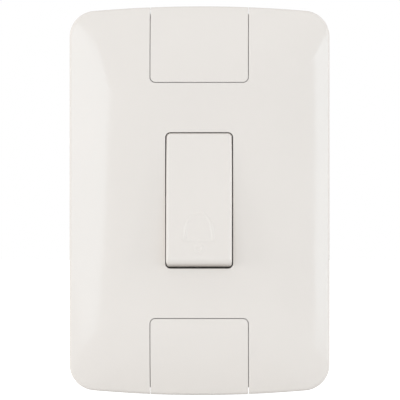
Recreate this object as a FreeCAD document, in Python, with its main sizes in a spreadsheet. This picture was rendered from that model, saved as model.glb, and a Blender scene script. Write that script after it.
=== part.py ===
import FreeCAD, Part
import math
import os
import re
import Sketcher

# Doorbell push button: a domed wall plate for a 4x2 inch box with one rocker-key module.
# X runs to the right, Z up and Y into the wall. The wall is at Y = 0 and faces -Y.
# The origin is the plate's centre on the wall, midway between the two box screws.

# Driving dimensions in millimetres and degrees
SIZES = {
    # Cover plate
    "plate_width": 79,
    "plate_height": 118,
    "corner_radius": 7.9,
    "bow_radius": 380,
    "plate_depth": 8,
    "rim_depth": 4.4,
    "shoulder_width": 22,
    "corner_growth": 0.35,
    "least_flat": 1,
    "edge_round": 1,
    "shell_wall": 2,
    "plate_rib": 1.2,
    "plate_rib_rise": 2.2,
    "plate_rib_offset": 25,
    "peg_radius": 1.5,
    "peg_offset": 28,
    # Screw caps and the trays that they close
    "cap_width": 29.6,
    "cap_inner_end": 35.85,
    "cap_corner": 1.5,
    "cap_wall": 1.6,
    "cap_skirt": 1.2,
    "seam_gap": 0.2,
    "tray_wall": 1.5,
    "tray_floor": 1.6,
    "blade_offset": 11,
    "blade_thickness": 1.2,
    "blade_start": 46,
    "blade_width": 4,
    "wall_gap": 0.2,
    # Box screws
    "screw_spacing": 83.3,
    "screw_radius": 1.75,
    "screw_neck_radius": 1.5,
    "screw_head_radius": 3.5,
    "screw_head_height": 1.6,
    "screw_reach": 20,
    "screw_slot_play": 0.35,
    "screw_slot_travel": 4,
    "driver_width": 1,
    "driver_length": 4,
    "driver_depth": 0.9,
    # Support frame
    "frame_width": 66,
    "frame_height": 66,
    "frame_corner": 5,
    "frame_thickness": 1.6,
    "frame_rib": 1.3,
    "frame_rib_rise": 1.6,
    "tongue_width": 18,
    "tongue_end": 51,
    "ring_wall": 1.5,
    "ring_rise": 3,
    "light_slot_width": 9,
    "light_slot_height": 11,
    "light_slot_offset": 22,
    "bay_gap": 0.2,
    # Rocker key
    "window_width": 20.55,
    "window_height": 41.3,
    "window_corner": 1.6,
    "key_side_gap": 0.3,
    "key_top_gap": 0.15,
    "key_end_gap": 0.3,
    "key_tilt": 5,
    "key_travel": 7,
    "key_wall": 1.6,
    "key_skirt": 1.8,
    "key_edge_round": 0.9,
    "key_lip_round": 1.8,
    "key_rib": 1,
    "pivot_depth": 3.8,
    "trunnion_radius": 1.5,
    "bearing_play": 0.05,
    "foot_arm": 9.9,
    "foot_rise": 1,
    "foot_radius": 1,
    "foot_width": 5,
    # Module collar
    "collar_step": 0.05,
    "collar_side": 0.8,
    "collar_end": 1.7,
    "collar_front_gap": 0.1,
    "collar_floor_depth": 0.3,
    "collar_floor": 1.5,
    "flange_width": 18,
    "flange_rise": 1.7,
    "nose_width": 9,
    "nose_reach": 0.9,
    "nose_height": 0.9,
    "nose_gap": 0.1,
    "slit_width": 0.6,
    "guide_wall": 1.4,
    "guide_rise": 1.2,
    "leg_width": 5,
    "leg_offset": 14,
    "leg_length": 6.2,
    "leg_nose": 1.2,
    "leg_bite": 1,
    "leg_gap": 0.05,
    "leg_window_play": 0.1,
    # Module housing
    "housing_width": 20,
    "housing_height": 41.2,
    "housing_back": 20,
    "housing_wall": 1.3,
    "housing_corner": 1.5,
    "barrier_wall": 1.2,
    "spring_seat": 15,
    "seat_rim": 1.5,
    "seat_wall": 1,
    # Plunger and its contacts
    "plunger_radius": 2.5,
    "plunger_play": 0.1,
    "plunger_chamfer": 0.4,
    "touch_gap": 0.03,
    "flange_gap": 0.1,
    "plunger_flange_radius": 4.2,
    "plunger_flange": 1.2,
    "spigot_radius": 1.6,
    "spigot_reach": 1.4,
    "retainer_thickness": 0.5,
    "bridge_thickness": 0.6,
    "bridge_length": 14.6,
    "bridge_width": 5,
    "bridge_play": 0.1,
    "contact_radius": 1.5,
    "contact_height": 0.6,
    "rivet_radius": 0.8,
    "rivet_play": 0.02,
    "tail_radius": 1.1,
    "tail_height": 0.3,
    "closed_gap": 0.07,
    "contact_offset": 5.3,
    # Springs
    "contact_spring_room": 1.9,
    "contact_spring_wire": 0.4,
    "contact_spring_radius": 2.4,
    "contact_spring_turns": 1.5,
    "return_spring_wire": 0.4,
    "return_spring_radius": 2.25,
    "return_spring_turns": 4,
    # Terminals
    "strip_thickness": 0.8,
    "strip_width": 3.8,
    "strip_end": 2.4,
    "strip_tab": 2,
    "block_width": 6.2,
    "block_height": 8,
    "block_depth": 6.6,
    "block_centre": 13,
    "block_chamfer": 0.4,
    "wire_bore": 1.6,
    "wire_bore_depth": 5.8,
    "wire_entry": 2.4,
    "clamp_radius": 1.5,
    "clamp_play": 0.05,
    "clamp_tip_gap": 0.1,
    "clamp_head_radius": 2.6,
    "clamp_head_height": 1.8,
    "clamp_head_gap": 1,
    "clamp_access": 3,
    "clamp_slot": 0.8,
}

doc = FreeCAD.newDocument("doorbell_push")
sheet = doc.addObject("Spreadsheet::Sheet", "Sizes")
for row, (name, size) in enumerate(SIZES.items(), 1):
    sheet.set(f"A{row}", name)
    sheet.set(f"B{row}", str(size))
    sheet.setAlias(f"B{row}", name)
doc.recompute()

# Places and sizes that follow from the driving dimensions, as formulas
SHOULDER_RISE = "(plate_depth - rim_depth)"
SHOULDER_RADIUS = f"((shoulder_width ^ 2 + {SHOULDER_RISE} ^ 2) / (2 * {SHOULDER_RISE}))"
TRAY_LEVEL = "(-frame_thickness - tray_floor)"
RECESS_HALF = "(cap_width / 2 + seam_gap)"
RECESS_START = "(cap_inner_end - seam_gap)"
SCREW_SLOT = "(screw_neck_radius + screw_slot_play)"
KEY_RISE = "(plate_depth - pivot_depth)"
KEY_TOP = "(window_height / 2 - key_top_gap)"
KEY_FACE = f"({KEY_RISE} * cos(key_tilt) + {KEY_TOP} * sin(key_tilt))"
KEY_END = f"({KEY_TOP} * cos(key_tilt) - {KEY_RISE} * sin(key_tilt))"
KEY_HALF = "(window_width / 2 - key_side_gap)"
SWING = "(window_height / 2 - key_end_gap)"
COLLAR_INNER = "(window_width / 2 + collar_step)"
COLLAR_HALF = f"({COLLAR_INNER} + collar_side)"
COLLAR_INNER_END = "(window_height / 2 + collar_step)"
COLLAR_END = f"({COLLAR_INNER_END} + collar_end)"
COLLAR_FRONT = "(shell_wall + collar_front_gap - plate_depth)"
COLLAR_BACK = "(collar_floor_depth + collar_floor)"
BAY_HALF = f"({COLLAR_HALF} + bay_gap)"
BAY_END = f"({COLLAR_END} + bay_gap)"
RING_FRONT = "(-frame_thickness - ring_rise)"
GUIDE_RADIUS = "(plunger_radius + plunger_play)"
FOOT_HEIGHT = "(foot_rise * cos(key_tilt) - foot_arm * sin(key_tilt) + foot_radius)"
PLUNGER_TOP = f"({FOOT_HEIGHT} - pivot_depth + touch_gap)"
PLUNGER_DROP = "(foot_arm * cos(key_tilt) + foot_rise * sin(key_tilt))"
PLUNGER_TRAVEL = ("(foot_rise * (cos(key_tilt - key_travel) - cos(key_tilt))"
                  " + foot_arm * (sin(key_tilt) - sin(key_tilt - key_travel)))")
FLANGE_FRONT = f"({COLLAR_BACK} + flange_gap)"
FLANGE_BACK = f"({FLANGE_FRONT} + plunger_flange)"
BRIDGE_FRONT = f"({FLANGE_BACK} + contact_spring_room)"
BRIDGE_BACK = f"({BRIDGE_FRONT} + bridge_thickness)"
RETAINER_BACK = f"({BRIDGE_BACK} + retainer_thickness)"
FIXED_FRONT = f"({BRIDGE_BACK} + contact_height + {PLUNGER_TRAVEL} + closed_gap)"
STRIP_FRONT = f"({FIXED_FRONT} + contact_height)"
STRIP_BACK = f"({STRIP_FRONT} + strip_thickness)"
BLOCK_BACK = f"({STRIP_BACK} + block_depth)"
BLOCK_TOP = "(block_centre + block_height / 2)"
BLOCK_BOTTOM = "(block_centre - block_height / 2)"
CLAMP_DEPTH = f"({STRIP_BACK} + block_depth / 2)"
HOUSING_HALF = "(housing_width / 2)"
HOUSING_END = "(housing_height / 2)"
ROOM_HALF = "(housing_width / 2 - housing_wall)"
ROOM_END = "(housing_height / 2 - housing_wall)"
ROOM_BACK = "(housing_back - housing_wall)"
STRIP_LOW = f"(-{PLUNGER_DROP} - strip_end)"

WORD = re.compile(r"[a-z][a-z_]*")
ORIGIN = (-1, 1)
START, END, CENTRE = 1, 2, 3
LOFT_STEPS = 6
TURN_PARTS = 2
PIPE_STEPS = 24
CLOSE = 1e-4
LEAST_CUT = 1e-3


def link(formula):
    """Point every size that a formula names at its cell of the sheet."""
    return WORD.sub(lambda word: "Sizes." + word[0] if word[0] in SIZES else word[0], formula)


def value(formula):
    """The number that a formula gives now."""
    return float(sheet.evalExpression(link(formula)))


def bind(item, name, formula):
    item.setExpression(name, link(formula))


def mirrored(low, high):
    """The same span on both sides of a middle plane."""
    return (low, high), (f"-({high})", f"-({low})")


def span(sign, low, high):
    """One of the two mirrored spans: the positive side, or the negative one."""
    return mirrored(low, high)[0 if sign > 0 else 1]


def half(size):
    """A span as wide as SIZE, centred on the middle plane."""
    return (f"-({size})", size)


# Outlines: each returns a function that draws it, fully tied to the sheet, in a sketch

def fix(sketch, kind, *where, size):
    index = sketch.addConstraint(Sketcher.Constraint(kind, *where, value(size)))
    bind(sketch, f"Constraints[{index}]", size)


def place_point(sketch, index, end, x, y):
    fix(sketch, "DistanceX", *ORIGIN, index, end, size=x)
    fix(sketch, "DistanceY", *ORIGIN, index, end, size=y)


def join(sketch, kind, parts):
    for one, following in zip(parts, parts[1:] + parts[:1]):
        sketch.addConstraint(Sketcher.Constraint(kind, one, END, following, START))


def polygon(*points, arcs=None):
    """A closed outline, corners anticlockwise. ARCS gives the radius and centre of each round side."""
    def draw(sketch):
        corners = [FreeCAD.Vector(value(x), value(y), 0) for x, y in points]
        parts = []
        for number, (start, end) in enumerate(zip(corners, corners[1:] + corners[:1])):
            if arcs and number in arcs:
                radius, x, y = arcs[number]
                outward = FreeCAD.Vector(end.y - start.y, start.x - end.x, 0).normalize()
                crown = FreeCAD.Vector(value(x), value(y), 0) + outward * value(radius)
                parts.append(sketch.addGeometry(Part.Arc(start, crown, end), False))
            else:
                parts.append(sketch.addGeometry(Part.LineSegment(start, end), False))
        forward = [True] * len(parts)
        for number, part in enumerate(parts):
            shape = sketch.Geometry[part]
            forward[number] = shape.StartPoint.distanceToPoint(corners[number]) < CLOSE
        for number, part in enumerate(parts):
            following = (number + 1) % len(parts)
            leave = END if forward[number] else START
            enter = START if forward[following] else END
            sketch.addConstraint(Sketcher.Constraint("Coincident", part, leave, parts[following], enter))
        for number, (x, y) in enumerate(points):
            place_point(sketch, parts[number], START if forward[number] else END, x, y)
        for number, (radius, x, y) in (arcs or {}).items():
            chord = corners[(number + 1) % len(corners)] - corners[number]
            if abs(chord.y) > abs(chord.x):
                fix(sketch, "DistanceX", *ORIGIN, parts[number], CENTRE, size=x)
            else:
                fix(sketch, "DistanceY", *ORIGIN, parts[number], CENTRE, size=y)
    return draw


def rectangle(x, y):
    return polygon((x[0], y[0]), (x[1], y[0]), (x[1], y[1]), (x[0], y[1]))


def circle(x, y, radius):
    def draw(sketch):
        centre = FreeCAD.Vector(value(x), value(y), 0)
        ring = Part.Circle(centre, FreeCAD.Vector(0, 0, 1), value(radius))
        index = sketch.addGeometry(ring, False)
        place_point(sketch, index, CENTRE, x, y)
        fix(sketch, "Radius", index, size=radius)
    return draw


def bowed(inset, growth):
    """The plate's outline drawn in by INSET: straight sides, round corners, bowed top and bottom."""
    half_width = f"(plate_width / 2 - ({inset}) - ({growth}))"
    corner = f"min(corner_radius - ({inset}) + ({growth}) * corner_growth; {half_width} - least_flat)"
    bow = f"(bow_radius - ({inset}) - ({growth}))"
    bow_centre = "(plate_height / 2 - bow_radius)"

    def draw(sketch):
        width, small, large = value(half_width), value(corner), value(bow)
        centre = value(bow_centre)
        corner_x = width - small
        corner_z = centre + math.sqrt((large - small) ** 2 - corner_x ** 2)
        meet = math.atan2(corner_z - centre, corner_x)
        normal = FreeCAD.Vector(0, 0, 1)

        def side(x, start, end):
            line = Part.LineSegment(FreeCAD.Vector(x, start, 0), FreeCAD.Vector(x, end, 0))
            return sketch.addGeometry(line, False)

        def arc(x, z, radius, start, end):
            ring = Part.Circle(FreeCAD.Vector(x, z, 0), normal, radius)
            return sketch.addGeometry(Part.ArcOfCircle(ring, start, end), False)

        turn = math.pi
        right = side(width, -corner_z, corner_z)
        upper_right = arc(corner_x, corner_z, small, 0, meet)
        top = arc(0, centre, large, meet, turn - meet)
        upper_left = arc(-corner_x, corner_z, small, turn - meet, turn)
        left = side(-width, corner_z, -corner_z)
        lower_left = arc(-corner_x, -corner_z, small, turn, turn + meet)
        bottom = arc(0, -centre, large, turn + meet, 2 * turn - meet)
        lower_right = arc(corner_x, -corner_z, small, -meet, 0)
        join(sketch, "Tangent", [right, upper_right, top, upper_left,
                                 left, lower_left, bottom, lower_right])
        for line, sign in ((right, ""), (left, "-")):
            sketch.addConstraint(Sketcher.Constraint("Vertical", line))
            fix(sketch, "DistanceX", *ORIGIN, line, START, size=sign + half_width)
        for ring in (upper_right, upper_left, lower_left, lower_right):
            fix(sketch, "Radius", ring, size=corner)
        for ring, sign in ((top, ""), (bottom, "-")):
            fix(sketch, "Radius", ring, size=bow)
            place_point(sketch, ring, CENTRE, "0", sign + bow_centre)
    return draw


# Bodies, their sketches and their features

def new_body(label):
    body = doc.addObject("PartDesign::Body", label)
    body.Label = label
    return body


def new_sketch(body, role, level, outlines):
    sketch = body.newObject("Sketcher::SketchObject", body.Label + "_sketch")
    plane = next(plane for plane in body.Origin.OriginFeatures if plane.Role == role)
    sketch.AttachmentSupport = [(plane, "")]
    sketch.MapMode = "FlatFace"
    bind(sketch, "AttachmentOffset.Base.z", level)
    for draw in outlines:
        draw(sketch)
    return sketch


def feature(body, kind, sketch, length, symmetric=False):
    item = body.newObject(f"PartDesign::{kind}", f"{body.Label}_{kind.lower()}")
    item.Profile = sketch
    item.SideType = "Symmetric" if symmetric else "One side"
    bind(item, "Length", length)
    doc.recompute()
    return item


def pad(body, front, back, *outlines):
    """Fill outlines that face the viewer, from the level FRONT to the level BACK along Y."""
    sketch = new_sketch(body, "XZ_Plane", f"-({back})", outlines)
    return feature(body, "Pad", sketch, f"({back}) - ({front})")


def pocket(body, front, back, *outlines):
    """Sink outlines that face the viewer, from the level FRONT to the level BACK along Y."""
    sketch = new_sketch(body, "XZ_Plane", f"-({front})", outlines)
    return feature(body, "Pocket", sketch, f"({back}) - ({front})")


def pad_across(body, width, *outlines):
    """Fill outlines drawn from the side, as wide as WIDTH about the middle plane."""
    return feature(body, "Pad", new_sketch(body, "YZ_Plane", "0", outlines), width, True)


def pocket_across(body, width, *outlines):
    """Cut outlines drawn from the side, as wide as WIDTH about the middle plane."""
    return feature(body, "Pocket", new_sketch(body, "YZ_Plane", "0", outlines), width, True)


def pocket_down(body, top, depth, *outlines):
    """Sink outlines drawn from above, from the level TOP downwards."""
    return feature(body, "Pocket", new_sketch(body, "XY_Plane", top, outlines), depth)


def turned(label, *points):
    """A round piece about the Y axis, from the radius and the level of each corner."""
    body = new_body(label)
    profile = new_sketch(body, "XY_Plane", "0", [polygon(*points)])
    item = body.newObject("PartDesign::Revolution", label + "_turning")
    item.Profile = profile
    item.ReferenceAxis = (profile, ["V_Axis"])
    item.Angle = 360
    doc.recompute()
    return body


def dress(body, kind, name, size, chosen):
    """Round or bevel the edges of a body that the test CHOSEN picks."""
    base = body.Tip
    edges = [f"Edge{number}" for number, edge in enumerate(base.Shape.Edges, 1) if chosen(edge)]
    item = body.newObject(f"PartDesign::{kind}", f"{body.Label}_{kind.lower()}")
    item.Base = (base, edges)
    bind(item, name, size)
    doc.recompute()
    return item


def round_off(body, radius, chosen):
    return dress(body, "Fillet", "Radius", radius, chosen)


def bevel(body, size, chosen):
    return dress(body, "Chamfer", "Size", size, chosen)


def at_level(axis, level):
    """A test for the edges that lie wholly at one level along an axis."""
    def chosen(edge):
        box = edge.BoundBox
        low = getattr(box, axis + "Min")
        high = getattr(box, axis + "Max")
        return abs(low - level) < CLOSE and abs(high - level) < CLOSE
    return chosen


def along(axis):
    """A test for the straight edges that run along an axis."""
    others = [other for other in "XYZ" if other != axis]

    def chosen(edge):
        box = edge.BoundBox
        return all(getattr(box, other + "Length") < CLOSE for other in others)
    return chosen


# Plain solids and the joins between them

def block(name, x, y, z):
    """A box between two levels on each axis."""
    item = doc.addObject("Part::Box", name)
    for size, axis, (low, high) in zip(("Length", "Width", "Height"), "xyz", (x, y, z)):
        bind(item, size, f"({high}) - ({low})")
        bind(item, f"Placement.Base.{axis}", low)
    return item


def panel(name, corner, x, y, z):
    """A box whose four edges along Y are rounded."""
    body = new_body(name)
    pad(body, *y, rectangle(x, z))
    round_off(body, corner, along("Y"))
    return body


def rod(name, radius, x, y, z):
    """A cylinder along Y between the two levels in Y."""
    item = doc.addObject("Part::Cylinder", name)
    item.Placement.Rotation = FreeCAD.Rotation(FreeCAD.Vector(1, 0, 0), -90)
    bind(item, "Radius", radius)
    bind(item, "Height", f"({y[1]}) - ({y[0]})")
    for axis, place in zip("xyz", (x, y[0], z)):
        bind(item, f"Placement.Base.{axis}", place)
    return item


def fuse(name, *shapes):
    item = doc.addObject("Part::MultiFuse", name)
    item.Shapes = list(shapes)
    return item


def shared(name, *shapes):
    item = doc.addObject("Part::MultiCommon", name)
    item.Shapes = list(shapes)
    return item


def cut(name, base, tool):
    item = doc.addObject("Part::Cut", name)
    item.Base = base
    item.Tool = tool
    return item


def place(item, x="0", y="0", z="0"):
    for axis, level in zip("xyz", (x, y, z)):
        bind(item, f"Placement.Base.{axis}", level)


# Cover plate and caps: one domed form, cut along the seams

def dome(label, inset):
    """The plate's form drawn in by INSET: straight sides, then a shoulder that rolls over to the face."""
    body = new_body(label)
    pad(body, f"({inset}) - rim_depth", "0", bowed(inset, "0"))
    sections = []
    for step in range(LOFT_STEPS + 1):
        growth = f"shoulder_width * {step} / {LOFT_STEPS}"
        left = f"(shoulder_width * {LOFT_STEPS - step} / {LOFT_STEPS})"
        drop = f"({SHOULDER_RADIUS} - sqrt({SHOULDER_RADIUS} ^ 2 - {left} ^ 2))"
        level = f"plate_depth - ({inset}) - {drop}"
        sections.append(new_sketch(body, "XZ_Plane", level, [bowed(inset, growth)]))
    crown = body.newObject("PartDesign::AdditiveLoft", label + "_crown")
    crown.Profile = sections[0]
    crown.Sections = sections[1:]
    doc.recompute()
    return body


def make_cap(name, sign, form, lining):
    """A flush cap: a lid of the domed form with skirts, an outer skirt to the wall, and two blades."""
    inside = ("-plate_depth - 1", "1")
    above = ("-plate_depth - 1", TRAY_LEVEL)
    below = (TRAY_LEVEL, "-wall_gap")
    width = half("cap_width / 2")
    reach = span(sign, "cap_inner_end", "plate_height")
    lid = shared(name + "_lid", form, panel(name + "_lid_panel", "cap_corner", width, above, reach))
    hollow = block(name + "_hollow_block", half("cap_width / 2 - cap_skirt"), inside,
                   span(sign, "cap_inner_end + cap_skirt", "plate_height"))
    shell = cut(name + "_shell", lid, shared(name + "_hollow", lining, hollow))
    edge = shared(name + "_edge", form, panel(name + "_edge_panel", "cap_corner", width, below, reach))
    skirt = cut(name + "_skirt", edge, lining)
    blades = []
    for x in mirrored("blade_offset - blade_thickness / 2", "blade_offset + blade_thickness / 2"):
        height = span(sign, "blade_start", "blade_start + blade_width")
        blade = block(name + "_blade", x, ("-plate_depth", "-2 * wall_gap"), height)
        blades.append(shared(name + "_trimmed_blade", form, blade))
    cap = fuse(name, shell, skirt, *blades)
    cap.Label = name
    return cap


def make_plate(form, lining):
    """The domed shell with its window, trays for the box screws, ribs and locating pegs."""
    through = ("-plate_depth - 1", "1")
    shell = cut("plate_shell", form, lining)
    recesses, walls, floors, holes = [], [], [], []
    wall_half = f"{RECESS_HALF} + tray_wall"
    for sign in (1, -1):
        recess = panel("recess", "cap_corner + seam_gap", half(RECESS_HALF), through,
                       span(sign, RECESS_START, "plate_height"))
        reach = span(sign, f"{RECESS_START} - tray_wall", "plate_height")
        around = block("tray_block", half(wall_half), ("-plate_depth - 1", "-frame_thickness"), reach)
        walls.append(cut("tray_sides", around, recess))
        floors.append(block("tray_base", half(wall_half), (TRAY_LEVEL, "-frame_thickness"), reach))
        recesses.append(recess)
        middle = f"{sign} * screw_spacing / 2"
        holes.append(block("screw_slot", half("screw_slot_travel / 2"), through,
                           (f"{middle} - {SCREW_SLOT}", f"{middle} + {SCREW_SLOT}")))
        for x in ("-screw_slot_travel / 2", "screw_slot_travel / 2"):
            holes.append(rod("screw_slot_end", SCREW_SLOT, x, through, middle))
        for x in mirrored("blade_offset - blade_thickness / 2 - seam_gap",
                          "blade_offset + blade_thickness / 2 + seam_gap"):
            height = span(sign, "blade_start - seam_gap", "blade_start + blade_width + seam_gap")
            holes.append(block("blade_slot", x, through, height))
    rib_levels = ("-plate_depth", "shell_wall + plate_rib_rise - plate_depth")
    for x in mirrored("plate_rib_offset", "plate_rib_offset + plate_rib"):
        walls.append(block("upright_rib", x, rib_levels, half("frame_height / 2")))
    for x in mirrored(f"{BAY_HALF} + 2 * ring_wall", "plate_width / 2"):
        for z in mirrored("window_height / 2 - plate_rib", "window_height / 2"):
            walls.append(block("level_rib", x, rib_levels, z))
    for x in ("-peg_offset", "peg_offset"):
        for z in ("-peg_offset", "peg_offset"):
            walls.append(rod("peg", "peg_radius", x, ("-plate_depth", "-wall_gap"), z))
    inner_parts = shared("inner_parts", form, fuse("inner_blocks", *walls))
    trays = shared("trays", lining, fuse("tray_bases", *floors))
    open_shell = cut("open_shell", shell, fuse("recesses", *recesses))
    joined = fuse("joined_plate", open_shell, inner_parts, trays)
    window = panel("window", "window_corner", half("window_width / 2"), through, half("window_height / 2"))
    plate = cut("cover_plate", joined, fuse("plate_openings", window, *holes))
    plate.Label = "cover_plate"
    return plate


def make_box_screw(name, sign):
    """A pan-head machine screw for the wall box, with a cross slot."""
    head = f"({TRAY_LEVEL} - screw_head_height)"
    body = turned(name, ("0", head), ("screw_head_radius", head), ("screw_head_radius", TRAY_LEVEL),
                  ("screw_neck_radius", TRAY_LEVEL), ("screw_neck_radius", "0"), ("screw_radius", "0"),
                  ("screw_radius", "screw_reach - screw_radius / 2"),
                  ("screw_radius / 2", "screw_reach"), ("0", "screw_reach"))
    round_off(body, "screw_head_height / 2", at_level("Y", value(head)))
    arm, blade = "driver_length / 2", "driver_width / 2"
    pocket(body, head, f"{head} + driver_depth", polygon(
        (f"-{arm}", f"-{blade}"), (f"-{blade}", f"-{blade}"), (f"-{blade}", f"-{arm}"),
        (blade, f"-{arm}"), (blade, f"-{blade}"), (arm, f"-{blade}"),
        (arm, blade), (blade, blade), (blade, arm),
        (f"-{blade}", arm), (f"-{blade}", blade), (f"-{arm}", blade)))
    place(body, z=f"{sign} * screw_spacing / 2")
    return body


def make_frame():
    """The moulded frame: a ribbed plate with a bay for the module and a tongue for each box screw."""
    body = new_body("support_frame")
    outer, end = "frame_width / 2", "frame_height / 2"
    tongue = "tongue_width / 2"
    pad(body, "-frame_thickness", "0", rectangle(half(outer), half(end)))
    round_off(body, "frame_corner", along("Y"))
    tongues = [rectangle(half(tongue), z) for z in mirrored(f"{end} - frame_rib", "tongue_end")]
    pad(body, "-frame_thickness", "0", *tongues)
    round_off(body, "tongue_width / 4", lambda edge: along("Y")(edge)
              and abs(abs(edge.BoundBox.ZMin) - value("tongue_end")) < CLOSE)
    rib_front = "-frame_thickness - frame_rib_rise"
    ribs = [rectangle(x, half(f"{end} - frame_corner"))
            for x in mirrored(f"{outer} - frame_rib", outer)]
    pad(body, rib_front, "-frame_thickness", *ribs)
    ribs = [rectangle(half(f"{outer} - frame_corner"), z) for z in mirrored(f"{end} - frame_rib", end)]
    pad(body, rib_front, "-frame_thickness", *ribs)
    cross = [rectangle(x, half("frame_rib / 2"))
             for x in mirrored(f"{BAY_HALF} + ring_wall / 2", f"{outer} - frame_rib / 2")]
    pad(body, rib_front, "-frame_thickness", *cross)
    pad(body, RING_FRONT, "-frame_thickness",
        rectangle(half(f"{BAY_HALF} + ring_wall"), half(f"{BAY_END} + ring_wall")))
    pocket(body, RING_FRONT, "0", rectangle(half(BAY_HALF), half(BAY_END)))
    places = [(x, z) for x in ("-peg_offset", "peg_offset") for z in ("-peg_offset", "peg_offset")]
    pocket(body, rib_front, "0", *[circle(x, z, "peg_radius + plunger_play") for x, z in places])
    slots = []
    reach = "light_slot_width / 2"
    for x in mirrored(f"light_slot_offset - {reach}", f"light_slot_offset + {reach}"):
        for z in mirrored("2 * frame_rib", "2 * frame_rib + light_slot_height"):
            slots.append(rectangle(x, z))
    pocket(body, "-frame_thickness", "0", *slots)
    for sign in (1, -1):
        middle = f"{sign} * screw_spacing / 2"
        pocket(body, "-frame_thickness", "0", slot_outline("screw_slot_travel / 2", middle, SCREW_SLOT))
    return body


def slot_outline(reach, z, radius):
    """A slot along X with round ends."""
    low, high = f"({z}) - {radius}", f"({z}) + {radius}"
    return polygon((f"-({reach})", low), (reach, low), (reach, high), (f"-({reach})", high),
                   arcs={1: (radius, reach, z), 3: (radius, f"-({reach})", z)})


def make_collar():
    """The module's front half: bearings, plunger guide, snap noses, rear flange and four snap legs."""
    body = new_body("module_collar")
    pad(body, COLLAR_FRONT, COLLAR_BACK, rectangle(half(COLLAR_HALF), half(COLLAR_END)))
    pocket(body, COLLAR_FRONT, "collar_floor_depth",
           rectangle(half(COLLAR_INNER), half(COLLAR_INNER_END)))
    pad(body, "0", COLLAR_BACK,
        *[rectangle(half("flange_width / 2"), z)
          for z in mirrored(f"{COLLAR_END} - collar_end", f"{COLLAR_END} + flange_rise")])
    nose_back = f"{RING_FRONT} - nose_gap"
    pad(body, f"{nose_back} - nose_height", nose_back,
        *[rectangle(half("nose_width / 2"), z)
          for z in mirrored(f"{COLLAR_END} - collar_end", f"{COLLAR_END} + nose_reach")])
    slits = []
    for x in mirrored("nose_width / 2", "nose_width / 2 + slit_width"):
        for z in mirrored(f"{COLLAR_INNER_END} - slit_width", f"{COLLAR_END} + nose_reach"):
            slits.append(rectangle(x, z))
    pocket(body, COLLAR_FRONT, "-slit_width", *slits)
    drop = f"-{PLUNGER_DROP}"
    pad(body, "collar_floor_depth - guide_rise", "collar_floor_depth",
        circle("0", drop, f"{GUIDE_RADIUS} + guide_wall"))
    pocket(body, "collar_floor_depth - guide_rise", COLLAR_BACK, circle("0", drop, GUIDE_RADIUS))
    pocket_across(body, f"2 * {COLLAR_HALF} + 1",
                  circle("-pivot_depth", "0", "trunnion_radius + bearing_play"))
    legs, hooks = [], []
    for z in mirrored("leg_offset - leg_width / 2", "leg_offset + leg_width / 2"):
        for x in mirrored(f"{HOUSING_HALF} + leg_gap", COLLAR_HALF):
            legs.append(rectangle(x, z))
        for x in mirrored(f"{HOUSING_HALF} - leg_bite", f"{HOUSING_HALF} + 2 * leg_gap"):
            hooks.append(rectangle(x, z))
    pad(body, COLLAR_BACK, f"{COLLAR_BACK} + leg_length", *legs)
    pad(body, f"{COLLAR_BACK} + leg_length - leg_nose", f"{COLLAR_BACK} + leg_length", *hooks)
    return body


def make_key():
    """The rocker key about its own pivot: flat face, round lower end, trunnions and a foot behind."""
    body = new_body("push_key")

    def side(wall, face, back):
        """The key's side view, drawn in by WALL at both ends."""
        swing = f"({SWING} - ({wall}))"
        low_front = f"-sqrt({swing} ^ 2 - ({face}) ^ 2)"
        low_back = f"-sqrt({swing} ^ 2 - ({back}) ^ 2)"
        top = f"{KEY_END} - ({wall})"
        return polygon((f"-({face})", top), (f"-({face})", low_front), (back, low_back), (back, top),
                       arcs={1: (swing, "0", "0")})

    pad_across(body, f"2 * {KEY_HALF}", side("0", KEY_FACE, "key_skirt"))
    at_face = at_level("Y", -value(KEY_FACE))
    round_off(body, "key_lip_round", lambda edge: at_face(edge) and edge.BoundBox.ZMax < 0)
    round_off(body, "window_corner - key_side_gap", lambda edge: along("Y")(edge)
              and abs(edge.BoundBox.ZMax - value(KEY_END)) < CLOSE)
    # The rounding of the sides runs on by itself over the lip and down the lower corners.
    round_off(body, "key_edge_round", lambda edge: at_face(edge) and edge.BoundBox.ZMax > 0)
    pad_across(body, f"2 * {COLLAR_HALF} - bearing_play", circle("0", "0", "trunnion_radius"))
    pocket_across(body, f"2 * ({KEY_HALF} - key_wall)",
                  side("key_wall", f"{KEY_FACE} - key_wall", "key_skirt + 1"))
    under = f"key_wall / 2 - {KEY_FACE}"
    low, high = "-foot_arm - foot_radius", "foot_radius - foot_arm"
    pad_across(body, "foot_width", polygon(
        (under, low), ("foot_rise", low), ("foot_rise", high), (under, high),
        arcs={1: ("foot_radius", "foot_rise", "-foot_arm")}))
    pad_across(body, f"2 * {KEY_HALF} - key_wall", rectangle(
        (under, "-key_skirt"), ("foot_arm", "foot_arm + key_rib")))
    body.Placement.Rotation = FreeCAD.Rotation(FreeCAD.Vector(-1, 0, 0), SIZES["key_tilt"])
    bind(body, "Placement.Rotation.Angle", "key_tilt")
    place(body, y="-pivot_depth")
    return body


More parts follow.
